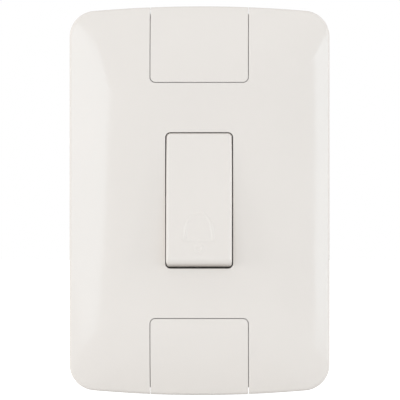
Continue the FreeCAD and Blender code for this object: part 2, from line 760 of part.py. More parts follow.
def make_housing():
    """The module's rear half: a box with a barrier, posts for strips and blocks, and a spring seat."""
    body = new_body("module_housing")
    pad(body, COLLAR_BACK, "housing_back", rectangle(half(HOUSING_HALF), half(HOUSING_END)))
    round_off(body, "housing_corner", along("Y"))
    pocket(body, COLLAR_BACK, ROOM_BACK, rectangle(half(ROOM_HALF), half(ROOM_END)))
    drop = f"-{PLUNGER_DROP}"
    barrier_reach = (f"{BLOCK_BOTTOM} - 2 * barrier_wall", f"{ROOM_END} + housing_wall / 2")
    pad(body, f"{STRIP_FRONT} - strip_tab", ROOM_BACK, rectangle(half("barrier_wall / 2"), barrier_reach))
    pads, posts = [], []
    for x in mirrored("contact_offset - block_width / 2", "contact_offset + block_width / 2"):
        pads.append(rectangle(x, (BLOCK_BOTTOM, BLOCK_TOP)))
    for x in mirrored("contact_offset - strip_width / 2", "contact_offset + strip_width / 2"):
        posts.append(rectangle(x, (f"{STRIP_LOW} + strip_thickness", f"{drop} + strip_end")))
    pad(body, BLOCK_BACK, ROOM_BACK, *pads)
    pad(body, STRIP_BACK, ROOM_BACK, *posts)
    pad(body, "spring_seat - seat_rim", ROOM_BACK,
        circle("0", drop, "return_spring_radius + return_spring_wire + seat_wall"))
    pocket(body, "spring_seat - seat_rim", "spring_seat",
           circle("0", drop, "return_spring_radius + return_spring_wire"))
    sides = ("-contact_offset", "contact_offset")
    pocket(body, STRIP_BACK, f"{STRIP_BACK} + 2 * tail_height",
           *[circle(x, drop, "tail_radius + plunger_play") for x in sides])
    pocket(body, BLOCK_BACK, "housing_back", *[circle(x, "block_centre", "wire_entry") for x in sides])
    hook_front = f"({COLLAR_BACK} + leg_length - leg_nose - leg_window_play)"
    hook_back = f"({COLLAR_BACK} + leg_length + leg_window_play)"
    windows = [rectangle((hook_front, hook_back), z)
               for z in mirrored("leg_offset - leg_width / 2 - leg_window_play",
                                 "leg_offset + leg_width / 2 + leg_window_play")]
    openings = new_sketch(body, "YZ_Plane", ROOM_HALF, windows)
    side_cut = feature(body, "Pocket", openings, "2 * housing_wall")
    side_cut.Reversed = True
    mirror = body.newObject("PartDesign::Mirrored", "opposite_windows")
    mirror.Originals = [side_cut]
    plane = next(plane for plane in body.Origin.OriginFeatures if plane.Role == "YZ_Plane")
    mirror.MirrorPlane = (plane, [""])
    body.Tip = mirror
    doc.recompute()
    pocket_down(body, HOUSING_END, "housing_wall",
                *[circle(x, CLAMP_DEPTH, "clamp_access") for x in sides])
    return body


def make_plunger():
    """The plunger: a guided stem, a flange, and a spigot that carries the bridge and the return spring."""
    top = PLUNGER_TOP
    body = turned("plunger", ("0", top), ("plunger_radius - plunger_chamfer", top),
                  ("plunger_radius", f"{top} + plunger_chamfer"), ("plunger_radius", FLANGE_FRONT),
                  ("plunger_flange_radius", FLANGE_FRONT), ("plunger_flange_radius", FLANGE_BACK),
                  ("spigot_radius", FLANGE_BACK), ("spigot_radius", BRIDGE_BACK),
                  ("plunger_radius", BRIDGE_BACK), ("plunger_radius", RETAINER_BACK),
                  ("spigot_radius", RETAINER_BACK), ("spigot_radius", f"{RETAINER_BACK} + spigot_reach"),
                  ("0", f"{RETAINER_BACK} + spigot_reach"))
    place(body, z=f"-{PLUNGER_DROP}")
    return body


def make_bridge():
    """The moving bridge: a brass strip forked to slide onto the spigot, with a hole for each rivet."""
    body = new_body("contact_bridge")
    low, high = half("bridge_width / 2")
    pad(body, BRIDGE_FRONT, BRIDGE_BACK, rectangle(half("bridge_length / 2"), (low, high)))
    round_off(body, "bridge_width / 5", along("Y"))
    gap = "(spigot_radius + bridge_play)"
    pocket(body, BRIDGE_FRONT, BRIDGE_BACK, polygon(
        (gap, "0"), (gap, "bridge_width"), (f"-{gap}", "bridge_width"), (f"-{gap}", "0"),
        arcs={3: (gap, "0", "0")}))
    pocket(body, BRIDGE_FRONT, BRIDGE_BACK,
           *[circle(x, "0", "rivet_radius + rivet_play") for x in ("-contact_offset", "contact_offset")])
    place(body, z=f"-{PLUNGER_DROP}")
    return body


def make_rivet(name, x, face, seat, back):
    """A contact rivet: a broad head from FACE to SEAT, a shank to BACK and an upset tail."""
    tail = f"({back}) + tail_height" if value(back) > value(seat) else f"({back}) - tail_height"
    body = turned(name, ("0", face), ("contact_radius", face), ("contact_radius", seat),
                  ("rivet_radius", seat), ("rivet_radius", back), ("tail_radius", back),
                  ("tail_radius", tail), ("0", tail))
    bevel(body, "contact_height / 2", at_level("Y", value(face)))
    place(body, x=x, z=f"-{PLUNGER_DROP}")
    return body


def make_strip(name, sign):
    """A brass strip from the fixed contact up to the terminal block, with a tab bent back below."""
    body = new_body(name)
    x = span(sign, "contact_offset - strip_width / 2", "contact_offset + strip_width / 2")
    pad(body, STRIP_FRONT, STRIP_BACK, rectangle(x, (STRIP_LOW, BLOCK_TOP)))
    pad(body, STRIP_BACK, f"{STRIP_BACK} + strip_tab",
        rectangle(x, (STRIP_LOW, f"{STRIP_LOW} + strip_thickness")))
    pocket(body, STRIP_FRONT, STRIP_BACK,
           circle(f"{sign} * contact_offset", f"-{PLUNGER_DROP}", "rivet_radius + rivet_play"))
    return body


def make_block(name, sign):
    """A pillar terminal: a brass block with a wire bore from behind and a threaded hole from above."""
    body = new_body(name)
    x = span(sign, "contact_offset - block_width / 2", "contact_offset + block_width / 2")
    pad(body, STRIP_BACK, BLOCK_BACK, rectangle(x, (BLOCK_BOTTOM, BLOCK_TOP)))
    bevel(body, "block_chamfer", along("Y"))
    centre = f"{sign} * contact_offset"
    pocket(body, f"{BLOCK_BACK} - wire_bore_depth", BLOCK_BACK, circle(centre, "block_centre", "wire_bore"))
    pocket_down(body, BLOCK_TOP, "block_height / 2",
                circle(centre, CLAMP_DEPTH, "clamp_radius + clamp_play"))
    return body


def make_clamp_screw(name, sign):
    """A slotted clamping screw that stands down into the block, its tip just clear of the wire bore."""
    shank = "block_height / 2 - wire_bore - clamp_tip_gap + clamp_head_gap"
    crown = f"({shank} + clamp_head_height)"
    body = turned(name, ("0", "0"), ("clamp_radius", "0"), ("clamp_radius", shank),
                  ("clamp_head_radius", shank), ("clamp_head_radius", crown), ("0", crown))
    bevel(body, "block_chamfer", at_level("Y", value(crown)))
    slot = "clamp_slot / 2"
    groove = rectangle(half(slot), (f"{crown} - clamp_slot", f"{crown} + 1"))
    across = new_sketch(body, "XY_Plane", "0", [groove])
    feature(body, "Pocket", across, "2 * clamp_head_radius + 1", True)
    body.Placement.Rotation = FreeCAD.Rotation(FreeCAD.Vector(1, 0, 0), 90)
    place(body, f"{sign} * contact_offset", CLAMP_DEPTH, "block_centre + wire_bore + clamp_tip_gap")
    return body


# Springs: one unbroken round wire each

def tangent_arcs(start, heading, end, arrival):
    """Two arcs that run from START along HEADING to END along ARRIVAL and meet in one direction."""
    reach = end - start
    both = heading + arrival
    spread = 2 * (1 - heading.dot(arrival))
    ahead = reach.dot(both)
    length = (math.sqrt(ahead ** 2 + spread * reach.dot(reach)) - ahead) / spread
    first = start + heading * length
    second = end - arrival * length
    middle = (first + second) / 2
    return [arc_by_corner(start, first, middle), arc_by_corner(middle, second, end)]


def arc_by_corner(start, corner, end):
    """The arc from START to END whose end tangents meet at CORNER."""
    chord = (start + end) / 2
    inward = chord - corner
    slant = math.atan2((end - start).Length / 2, inward.Length)
    radius = (start - corner).Length * math.tan(slant)
    crown = radius / math.sin(slant) - radius
    return Part.Arc(start, corner + inward.normalize() * crown, end).toShape()


def make_spring(name, radius, wire, turns, front, back):
    """A compression spring about the plunger's axis, wound from just behind FRONT to just before BACK."""
    radius, wire, turns = value(radius), value(wire), value(turns)
    rise = value(back) - value(front) - wire
    pitch = rise / turns

    def centre_line(turn):
        angle = 2 * math.pi * turn
        return FreeCAD.Vector(radius * math.cos(angle), wire / 2 + pitch * turn, radius * math.sin(angle))

    def heading(turn):
        angle = 2 * math.pi * turn
        slope = pitch / (2 * math.pi)
        return FreeCAD.Vector(-radius * math.sin(angle), slope, radius * math.cos(angle)).normalize()

    edges = []
    spans = int(round(turns * TURN_PARTS))
    for number in range(spans):
        start, end = number * turns / spans, (number + 1) * turns / spans
        edges += tangent_arcs(centre_line(start), heading(start), centre_line(end), heading(end))
    path = Part.Wire(edges)
    section = Part.Wire(Part.Circle(centre_line(0), heading(0), wire / 2).toShape())
    pipe = Part.BRepOffsetAPI.MakePipeShell(path)
    pipe.add(section)
    pipe.build()
    pipe.makeSolid()
    steps = PIPE_STEPS * spans
    samples = [centre_line(turns * step / steps) for step in range(steps + 1)]
    apart = PIPE_STEPS * TURN_PARTS // 2
    gaps = [one.distanceToPoint(other) for index, one in enumerate(samples)
            for other in samples[index + apart:]]
    print(f"{name}: least gap between turns {min(gaps) - wire:.2f} mm")
    item = doc.addObject("Part::Feature", name)
    item.Shape = pipe.shape()
    item.Label = name
    place(item, y=front, z=f"-{PLUNGER_DROP}")
    return item


# Assembly

form = dome("plate_form", "0")
round_off(form, "edge_round", at_level("Y", -value("rim_depth")))
plate_lining = dome("plate_lining", "shell_wall")
cap_lining = dome("cap_lining", "cap_wall")
sides = (("left", -1), ("right", 1))

nodes = [
    make_plate(form, plate_lining),
    make_cap("upper_screw_cap", 1, form, cap_lining),
    make_cap("lower_screw_cap", -1, form, cap_lining),
    make_box_screw("upper_box_screw", 1),
    make_box_screw("lower_box_screw", -1),
    make_frame(),
    make_collar(),
    make_housing(),
    make_key(),
    make_plunger(),
    make_bridge(),
    make_spring("contact_spring", "contact_spring_radius", "contact_spring_wire",
                "contact_spring_turns", FLANGE_BACK, BRIDGE_FRONT),
    make_spring("return_spring", "return_spring_radius", "return_spring_wire",
                "return_spring_turns", RETAINER_BACK, "spring_seat"),
]
bridge_rivets = fuse("bridge_contacts", *[
    make_rivet(f"{side}_bridge_rivet", f"{sign} * contact_offset", f"{BRIDGE_BACK} + contact_height",
               BRIDGE_BACK, BRIDGE_FRONT) for side, sign in sides])
nodes.append(bridge_rivets)
for side, sign in sides:
    nodes.append(make_rivet(f"{side}_fixed_contact", f"{sign} * contact_offset",
                            FIXED_FRONT, STRIP_FRONT, STRIP_BACK))
    nodes.append(make_strip(f"{side}_contact_strip", sign))
    nodes.append(make_block(f"{side}_terminal_block", sign))
    nodes.append(make_clamp_screw(f"{side}_terminal_screw", sign))
doc.recompute()

for item in doc.Objects:
    if "Invalid" in item.State or "Error" in item.State:
        raise RuntimeError(f"{item.Label} did not build: {item.State}")
    if item.isDerivedFrom("PartDesign::Pocket"):
        if item.BaseFeature.Shape.Volume - item.Shape.Volume < LEAST_CUT:
            raise RuntimeError(f"{item.Label} cuts nothing")
for node in nodes:
    if node.Shape.isNull() or not node.Shape.isValid():
        raise RuntimeError(f"{node.Label} has no valid solid")

os.makedirs("parts", exist_ok=True)
for node in nodes:
    node.Shape.exportStep(f"parts/{node.Label}.step")
    print(f"{node.Label}: {len(node.Shape.Solids)} solid, {node.Shape.Volume:.1f} mm3")
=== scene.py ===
import math

import bpy
from bpy.props import FloatProperty, FloatVectorProperty, IntProperty, PointerProperty
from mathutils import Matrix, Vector


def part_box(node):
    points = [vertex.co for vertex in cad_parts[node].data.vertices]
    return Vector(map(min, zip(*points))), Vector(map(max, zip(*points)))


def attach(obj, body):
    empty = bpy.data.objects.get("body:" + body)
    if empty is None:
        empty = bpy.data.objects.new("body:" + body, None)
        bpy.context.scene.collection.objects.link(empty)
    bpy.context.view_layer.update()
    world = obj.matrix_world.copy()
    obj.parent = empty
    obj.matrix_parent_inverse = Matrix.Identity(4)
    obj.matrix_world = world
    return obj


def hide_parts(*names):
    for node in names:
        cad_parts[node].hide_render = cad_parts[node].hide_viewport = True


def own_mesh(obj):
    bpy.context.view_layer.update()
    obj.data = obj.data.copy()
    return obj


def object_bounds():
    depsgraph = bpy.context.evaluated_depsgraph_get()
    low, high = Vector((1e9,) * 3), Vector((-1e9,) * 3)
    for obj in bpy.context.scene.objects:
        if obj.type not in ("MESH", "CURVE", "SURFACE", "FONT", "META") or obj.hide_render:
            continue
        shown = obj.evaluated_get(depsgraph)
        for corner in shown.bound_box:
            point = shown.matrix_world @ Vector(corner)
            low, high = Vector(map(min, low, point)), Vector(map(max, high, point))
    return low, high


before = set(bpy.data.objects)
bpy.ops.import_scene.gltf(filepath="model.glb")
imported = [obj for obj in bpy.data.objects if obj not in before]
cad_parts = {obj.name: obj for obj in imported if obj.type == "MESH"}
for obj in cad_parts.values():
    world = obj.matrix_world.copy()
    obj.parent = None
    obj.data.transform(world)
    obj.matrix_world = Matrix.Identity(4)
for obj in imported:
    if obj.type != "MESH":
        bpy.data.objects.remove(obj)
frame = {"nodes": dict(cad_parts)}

bl_info = {
    "name": "Doorbell push button",
    "version": (1, 0, 0),
    "blender": (4, 5, 0),
    "location": "View3D > Sidebar > Doorbell",
    "description": "Dresses a domed wall plate with its rocker key, flush screw caps and bell module",
    "category": "Add Mesh",
}

CAD_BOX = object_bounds()
MM = 0.001
# Corners closer than this, in metres, are one corner.
NEAR = 2e-7
# How far a screw's neck reaches up into its thread, in millimetres.
SEAT = 0.2
# How much slimmer than the thread's core a clamp screw's neck is, in millimetres.
CLEAR = 0.1

# The picture's side and the framing's shift, across and up, in pixels, and the sensor in millimetres.
PICTURE_SIDE = 400
SHIFT = (0.2, 0.7)
SENSOR = 36.0

# The floor: its side and its gap below the part in metres, its grey, and its glow for lens and mirrored rays.
FLOOR_SIDE = 60
FLOOR_GAP = 0.0001
FLOOR_GREY = 0.85
FLOOR_GLOW = 0.7

# The lamps' distance in metres, and their tints.
LAMP_DISTANCE = 1.0
COOL = (0.76, 0.9, 1.0)
NEUTRAL = (1, 1, 1)
# The softboxes that the rolled shoulders mirror: shape, azimuth and elevation in degrees, width and height.
LEFT_SOFTBOX = ("ELLIPSE", -31.6, 9, 0.455, 0.455)
RIGHT_SOFTBOX = ("RECTANGLE", 46.5, 2, 0.56, 0.62)
# The panels that only fill, hidden from mirrored rays: azimuth, elevation, width, height and radiance.
PANELS = {
    "overhead_panel": (0, 65, 0.9, 0.5, 0.72),
    "upper_panel": (0, 35, 0.6, 0.6, 0.45),
    "near_left_panel": (-25, 0, 0.3, 0.5, 2.3),
    "left_panel": (-55, 0, 0.3, 0.6, 2.8),
    "left_wing": (-78, 0, 0.3, 0.6, 8.4),
    "right_wing": (78, 0, 0.3, 0.6, 7.4),
}


def linear(code):
    """Turns an sRGB hex value such as E6E2DD into linear red, green and blue."""
    parts = [int(code[i:i + 2], 16) / 255 for i in (0, 2, 4)]
    return [c / 12.92 if c <= 0.04045 else ((c + 0.055) / 1.055) ** 2.4 for c in parts]


def colour(name, code, text):
    return FloatVectorProperty(name=name, description=text, subtype="COLOR", size=3,
                               min=0, max=1, default=linear(code))


def length(name, millimetres, text):
    return FloatProperty(name=name, description=text, unit="LENGTH", precision=5,
                         min=0, default=millimetres * MM)


class DoorbellFinishes(bpy.types.PropertyGroup):
    """Colours of the mouldings and metals."""
    plate: colour("Plate", "E3DDD7", "Gloss ABS of the plate and its screw caps")
    key: colour("Key", "E4DED8", "Gloss ABS of the rocker key")
    frame: colour("Support frame", "B9B7B1", "Matt nylon of the support frame")
    module: colour("Module", "DAD6CD", "Matt nylon of the module's collar and housing")
    plunger: colour("Plunger", "E9E8E4", "Natural acetal of the plunger")
    zinc: colour("Zinc plating", "C9CBCE", "Bright zinc on the screws")
    wire: colour("Spring wire", "A9A9A6", "Drawn spring steel")
    brass: colour("Brass", "D2B26A", "Stamped and turned brass")
    silver: colour("Contact silver", "E4E2DC", "Silver alloy of the contacts")


class DoorbellSizes(bpy.types.PropertyGroup):
    """Sizes of the pieces that are modelled here."""
    bead: length("Bell line", 1.0, "Width of the raised line that draws the bell")
    bead_rise: length("Bell line rise", 0.1, "How far that line stands off the key")
    bead_round: length("Bell line roundness", 1.0, "Half the width of the oval whose top makes the line")
    clapper_round: length("Clapper roundness", 0.6, "The same for the clapper, whose ring is tighter")
    screw_major: length("Box screw radius", 1.75, "Radius over the box screws' thread")
    screw_minor: length("Box screw core", 1.38, "Radius of the core under the thread")
    screw_pitch: length("Box screw pitch", 0.6, "Pitch of the box screws' thread")
    screw_head: length("Box screw head", 3.5, "Radius of the box screws' head")
    screw_head_rise: length("Box screw head height", 1.6, "Height of that head")
    screw_head_round: length("Box screw head edge", 0.78, "Rounding of that head's front edge")
    screw_neck: length("Box screw neck", 1.5, "Radius of the plain neck under that head")
    cross_width: length("Cross slot width", 1, "Width of the cross slot's arms")
    cross_depth: length("Cross slot depth", 0.9, "Depth of the cross slot")
    clamp_major: length("Clamp screw radius", 1.5, "Radius over the clamp screws' thread")
    clamp_minor: length("Clamp screw core", 1.22, "Radius of the core under the thread")
    clamp_pitch: length("Clamp screw pitch", 0.5, "Pitch of the clamp screws' thread")
    clamp_head: length("Clamp screw head", 2.6, "Radius of the clamp screws' head")
    clamp_head_rise: length("Clamp screw head height", 1.8, "Height of that head")
    clamp_undercut: length("Clamp screw undercut", 0.3, "Plain neck between that head and the thread")
    clamp_edge: length("Clamp screw edge", 0.4, "Rounding of that head's edge, and length of the point")
    blade_width: length("Blade slot width", 0.8, "Width of the clamp screws' slot")
    blade_depth: length("Blade slot depth", 0.8, "Depth of the clamp screws' slot")
    wire: length("Return spring wire", 0.4, "Thickness of the return spring's wire")
    coil: length("Return spring coil", 2.25, "Radius of the return spring's centre line")
    turns: IntProperty(name="Return spring turns", description="Turns of the return spring",
                       min=2, default=4)


class DoorbellStudio(bpy.types.PropertyGroup):
    """Camera and lamps."""
    distance: length("Camera distance", 1500, "From the lens to the wall plane")
    camera_x: length("Camera to the right", 38, "How far right of the plate's centre the lens stands")
    camera_z: FloatProperty(name="Camera up", description="How far above the plate's centre the lens stands",
                            unit="LENGTH", precision=5, default=-16 * MM)
    width: length("Picture width", 121.7, "Width of the picture at the wall plane")
    ambient: FloatProperty(name="Room light", description="Strength of the light all round",
                           min=0, default=0.638)
    left: FloatProperty(name="Left softbox", description="Radiance of the round left softbox",
                        min=0, default=1.42)
    right: FloatProperty(name="Right softbox", description="Radiance of the right softbox",
                         min=0, default=1.85)
    fill: FloatProperty(name="Fill", description="Scale of the panels, which don't show in reflections",
                        min=0, default=1.0)


# Materials

def add(tree, kind, inputs=(), **settings):
    """Adds a node, gives it its settings, and fills or links its sockets."""
    made = tree.nodes.new(kind)
    for name, value in settings.items():
        setattr(made, name, value)
    for socket, value in dict(inputs).items():
        if isinstance(value, bpy.types.NodeSocket):
            tree.links.new(value, made.inputs[socket])
        else:
            made.inputs[socket].default_value = value
    return made


def new_material(name):
    """An empty node material with its output, and a position in metres for its patterns."""
    made = bpy.data.materials.new(name)
    made.use_nodes = True
    tree = made.node_tree
    tree.nodes.clear()
    place = add(tree, "ShaderNodeTexCoord").outputs["Object"]
    return made, tree, place


def per_mm(size):
    """The scale that gives a pattern features of this many millimetres on a position in metres."""
    return 1 / (size * MM)


def finish(made, tree, shader, tint):
    out = add(tree, "ShaderNodeOutputMaterial", {"Surface": shader.outputs[0]})
    out.is_active_output = True
    made.diffuse_color = (*tint, 1)
    return made


def moulded(name, tint, gloss, gloss_spread, ior, cloud_mm, cloud, grain_mm, grain_height, edge_mm=0.12):
    """A moulded plastic: slight clouds of tone, uneven gloss, and the skin that the mould leaves."""
    made, tree, place = new_material(name)
    clouds = add(tree, "ShaderNodeTexNoise", {"Vector": place, "Scale": per_mm(cloud_mm), "Detail": 3.0})
    darker = [c * (1 - cloud) for c in tint]
    lighter = [min(1.0, c * (1 + cloud)) for c in tint]
    tone = add(tree, "ShaderNodeValToRGB", {"Fac": clouds.outputs["Fac"]})
    tone.color_ramp.elements[0].position = 0.3
    tone.color_ramp.elements[0].color = (*darker, 1)
    tone.color_ramp.elements[1].position = 0.7
    tone.color_ramp.elements[1].color = (*lighter, 1)
    skin = add(tree, "ShaderNodeTexNoise", {"Vector": place, "Scale": per_mm(grain_mm), "Detail": 2.0})
    rough = add(tree, "ShaderNodeMapRange",
                {"Value": clouds.outputs["Fac"], "From Min": 0.3, "From Max": 0.7,
                 "To Min": gloss - gloss_spread, "To Max": gloss + gloss_spread})
    edges = add(tree, "ShaderNodeBevel", {"Radius": edge_mm * MM}, samples=8)
    bump = add(tree, "ShaderNodeBump", {"Height": skin.outputs["Fac"], "Strength": 1.0,
                                        "Distance": grain_height * MM, "Normal": edges.outputs["Normal"]})
    shader = add(tree, "ShaderNodeBsdfPrincipled",
                 {"Base Color": tone.outputs["Color"], "Roughness": rough.outputs["Result"], "IOR": ior,
                  "Normal": bump.outputs["Normal"]})
    return finish(made, tree, shader, tint)


def metal(name, tint, gloss, stretch, line_mm, line_height, stain):
    """A metal with fine lines of its drawing, turning or plating, and slight stains of tone."""
    made, tree, place = new_material(name)
    lined = add(tree, "ShaderNodeMapping", {"Vector": place, "Scale": stretch})
    lines = add(tree, "ShaderNodeTexNoise", {"Vector": lined.outputs["Vector"], "Scale": per_mm(line_mm),
                                             "Detail": 2.0})
    stains = add(tree, "ShaderNodeTexNoise", {"Vector": place, "Scale": per_mm(2.5), "Detail": 3.0})
    tone = add(tree, "ShaderNodeValToRGB", {"Fac": stains.outputs["Fac"]})
    tone.color_ramp.elements[0].position = 0.3
    tone.color_ramp.elements[0].color = (*[c * (1 - stain) for c in tint], 1)
    tone.color_ramp.elements[1].position = 0.65
    tone.color_ramp.elements[1].color = (*tint, 1)
    rough = add(tree, "ShaderNodeMapRange", {"Value": lines.outputs["Fac"], "From Min": 0.3, "From Max": 0.7,
                                             "To Min": gloss * 0.8, "To Max": gloss * 1.3})
    bump = add(tree, "ShaderNodeBump", {"Height": lines.outputs["Fac"], "Strength": 1.0,
                                        "Distance": line_height * MM})
    shader = add(tree, "ShaderNodeBsdfPrincipled",
                 {"Base Color": tone.outputs["Color"], "Metallic": 1.0, "Roughness": rough.outputs["Result"],
                  "Normal": bump.outputs["Normal"]})
    return finish(made, tree, shader, tint)


def gloss_abs(name, tint):
    # Polished injection-moulded ABS: soft reflections on a warm white that is just short of even.
    return moulded(name, tint, gloss=0.1, gloss_spread=0.02, ior=1.53, cloud_mm=22, cloud=0.006,
                   grain_mm=2.2, grain_height=0.0006)


def wear(node, made):
    """Gives a CAD node its material."""
    slots = frame["nodes"][node].data.materials
    slots.clear()
    slots.append(made)


# Modelling

def deselect():
    if bpy.context.object and bpy.context.object.mode != "OBJECT":
        bpy.ops.object.mode_set(mode="OBJECT")
    bpy.ops.object.select_all(action="DESELECT")


def only(piece):
    """Selects one piece and makes it the active one."""
    deselect()
    piece.select_set(True)
    bpy.context.view_layer.objects.active = piece


def edit(piece):
    """Opens one piece for editing by its corners, with everything in it selected."""
    only(piece)
    bpy.ops.object.mode_set(mode="EDIT")
    bpy.ops.mesh.select_mode(type="VERT")
    bpy.ops.mesh.select_all(action="SELECT")


def cut_below(piece, point, normal):
    """Cuts away what lies behind a plane and closes the cut."""
    edit(piece)
    bpy.ops.mesh.bisect(plane_co=point, plane_no=normal, use_fill=True, clear_inner=True, threshold=NEAR)
    bpy.ops.mesh.select_all(action="SELECT")
    bpy.ops.mesh.remove_doubles(threshold=NEAR)
    bpy.ops.mesh.normals_make_consistent(inside=False)
    bpy.ops.object.mode_set(mode="OBJECT")


def settle(piece):
    """Puts a piece's place into its mesh, so that its object sits at the origin unturned."""
    only(piece)
    bpy.ops.object.transform_apply(location=True, rotation=True, scale=True)
    return piece


def key_face():
    """A function that gives the point on the key's face for a place across and up, and the face's normal."""
    mesh = frame["nodes"]["push_key"].data
    largest = max(mesh.polygons, key=lambda face: face.area if face.normal.y < -0.9 else 0)
    normal = largest.normal.copy()
    point = largest.center.copy()

    def on_face(x, z):
        y = point.y - (normal.z * (z - point.z) + normal.x * (x - point.x)) / normal.y
        return Vector((x, y, z))
    return on_face, normal


def bead(name, spots, closed, sizes, roundness):
    """A raised line on the key through spots of (x, z, handle x, handle z) in millimetres."""
    on_face, normal = key_face()
    deselect()
    bpy.ops.curve.primitive_bezier_curve_add(location=(0, 0, 0))
    piece = bpy.context.object
    piece.name = name
    piece.data.name = name
    line = piece.data.splines[0]
    line.bezier_points.add(len(spots) - len(line.bezier_points))
    line.use_cyclic_u = closed
    for point, (x, z, dx, dz) in zip(line.bezier_points, spots):
        point.handle_left_type = point.handle_right_type = "FREE"
        point.co = on_face(x * MM, z * MM)
        point.handle_left = on_face((x - dx) * MM, (z - dz) * MM)
        point.handle_right = on_face((x + dx) * MM, (z + dz) * MM)
    piece.data.dimensions = "3D"
    piece.data.twist_mode = "MINIMUM"
    piece.data.resolution_u = 24
    piece.data.bevel_depth = roundness
    piece.data.bevel_resolution = 12
    piece.data.use_fill_caps = True
    only(piece)
    bpy.ops.object.convert(target="MESH")
    # The round line becomes an oval, sunk so that only its low crown stands off the face.
    chord = math.sqrt(1 - (sizes.bead / (2 * roundness)) ** 2)
    squeeze = sizes.bead_rise / (roundness * (1 - chord))
    for corner in piece.data.vertices:
        off = (corner.co - on_face(corner.co.x, corner.co.z)).dot(normal)
        corner.co -= normal * (off * (1 - squeeze) + roundness * squeeze * chord)
    edit(piece)
    bpy.ops.mesh.remove_doubles(threshold=NEAR)
    bpy.ops.mesh.normals_make_consistent(inside=False)
    bpy.ops.object.mode_set(mode="OBJECT")
    return piece


class DOORBELL_OT_mouldings(bpy.types.Operator):
    """Finish the cover plate and its two screw caps in gloss ABS"""
    bl_idname = "doorbell.mouldings"
    bl_label = "Plate and caps"

    def execute(self, context):
        tint = context.scene.doorbell_finishes.plate
        made = gloss_abs("moulded_gloss_ABS_plate", tint)
        for node in ("cover_plate", "upper_screw_cap", "lower_screw_cap"):
            wear(node, made)
        return {"FINISHED"}


class DOORBELL_OT_key(bpy.types.Operator):
    """Finish the rocker key in gloss ABS"""
    bl_idname = "doorbell.key"
    bl_label = "Rocker key"

    def execute(self, context):
        wear("push_key", gloss_abs("moulded_gloss_ABS_key", context.scene.doorbell_finishes.key))
        return {"FINISHED"}


class DOORBELL_OT_bell(bpy.types.Operator):
    """Raise the bell's outline on the lower half of the key"""
    bl_idname = "doorbell.bell"
    bl_label = "Bell relief"

    def execute(self, context):
        sizes = context.scene.doorbell_sizes
        dome = [(-4.3, -11.75, 0.12, 1.5), (-3.25, -6.1, 0.75, 1.6), (0, -3.97, 1.3, 0),
                (3.25, -6.1, 0.75, -1.6), (4.3, -11.75, 0.12, -1.5)]
        rim = [(-4.75, -12.1, 1.5, 0), (4.75, -12.1, 1.5, 0)]
        ring = [(0, -13.45, 0.6, 0), (1.1, -14.5, 0, -0.55), (0, -15.55, -0.6, 0), (-1.1, -14.5, 0, 0.55)]
        parts = [bead("bell_dome", dome, False, sizes, sizes.bead_round),
                 bead("bell_rim", rim, False, sizes, sizes.bead_round),
                 bead("bell_clapper", ring, True, sizes, sizes.clapper_round)]
        deselect()
        for part in parts:
            part.select_set(True)
        bpy.context.view_layer.objects.active = parts[0]
        bpy.ops.object.join()
        relief = settle(parts[0])
        relief.name = relief.data.name = "bell_relief"
        bpy.ops.object.shade_smooth_by_angle(angle=math.radians(35))
        relief.data.materials.clear()
        relief.data.materials.append(frame["nodes"]["push_key"].data.materials[0])
        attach(relief, "key")
        return {"FINISHED"}


class DOORBELL_OT_carriers(bpy.types.Operator):
    """Finish the support frame, the module and its plunger in matt nylon and acetal"""
    bl_idname = "doorbell.carriers"
    bl_label = "Frame and module"

    def execute(self, context):
        tints = context.scene.doorbell_finishes
        # Glass-filled nylon from an etched mould: an even matt skin with no clear reflection.
        wear("support_frame", moulded("moulded_matt_nylon_frame", tints.frame, gloss=0.5, gloss_spread=0.05,
                                      ior=1.53, cloud_mm=12, cloud=0.02, grain_mm=0.35, grain_height=0.006))
        module = moulded("moulded_matt_nylon_module", tints.module, gloss=0.42, gloss_spread=0.05,
                         ior=1.53, cloud_mm=8, cloud=0.015, grain_mm=0.35, grain_height=0.004)
        wear("module_collar", module)
        wear("module_housing", module)
        # Natural acetal: milky, smooth and slightly waxy.
        wear("plunger", moulded("moulded_natural_acetal", tints.plunger, gloss=0.28, gloss_spread=0.04,
                                ior=1.48, cloud_mm=3, cloud=0.01, grain_mm=0.5, grain_height=0.001))
        return {"FINISHED"}


class DOORBELL_OT_contacts(bpy.types.Operator):
    """Finish the brass and silver pieces of the contact set"""
    bl_idname = "doorbell.contacts"
    bl_label = "Contacts and terminals"

    def execute(self, context):
        tints = context.scene.doorbell_finishes
        # Half-hard brass, stamped or drawn bar: warm, with fine lines along the stock and faint tarnish.
        brass = metal("stamped_brass", tints.brass, gloss=0.24, stretch=(1, 1, 0.12), line_mm=0.12,
                      line_height=0.0015, stain=0.16)
        for node in ("contact_bridge", "left_contact_strip", "right_contact_strip",
                     "left_terminal_block", "right_terminal_block"):
            wear(node, brass)
        # Silver-nickel rivets, coined: paler and softer in its reflections than the brass round it.
        silver = metal("coined_silver_nickel", tints.silver, gloss=0.3, stretch=(1, 1, 1), line_mm=0.1,
                       line_height=0.0015, stain=0.1)
        for node in ("bridge_contacts", "left_fixed_contact", "right_fixed_contact"):
            wear(node, silver)
        return {"FINISHED"}


def pick(piece, low, high):
    """Selects the faces whose centres lie between two levels along Z."""
    bpy.ops.object.mode_set(mode="OBJECT")
    for group in (piece.data.vertices, piece.data.edges, piece.data.polygons):
        group.foreach_set("select", [False] * len(group))
    for face in piece.data.polygons:
        face.select = low < face.center.z < high
    bpy.ops.object.mode_set(mode="EDIT")


def apply(piece, kind, **settings):
    """Adds a modifier and applies it."""
    only(piece)
    made = piece.modifiers.new(kind.title(), kind)
    for name, value in settings.items():
        setattr(made, name, value)
    bpy.ops.object.modifier_apply(modifier=made.name)


def drop(piece):
    """Deletes a piece that was only a tool."""
    bpy.data.objects.remove(piece)


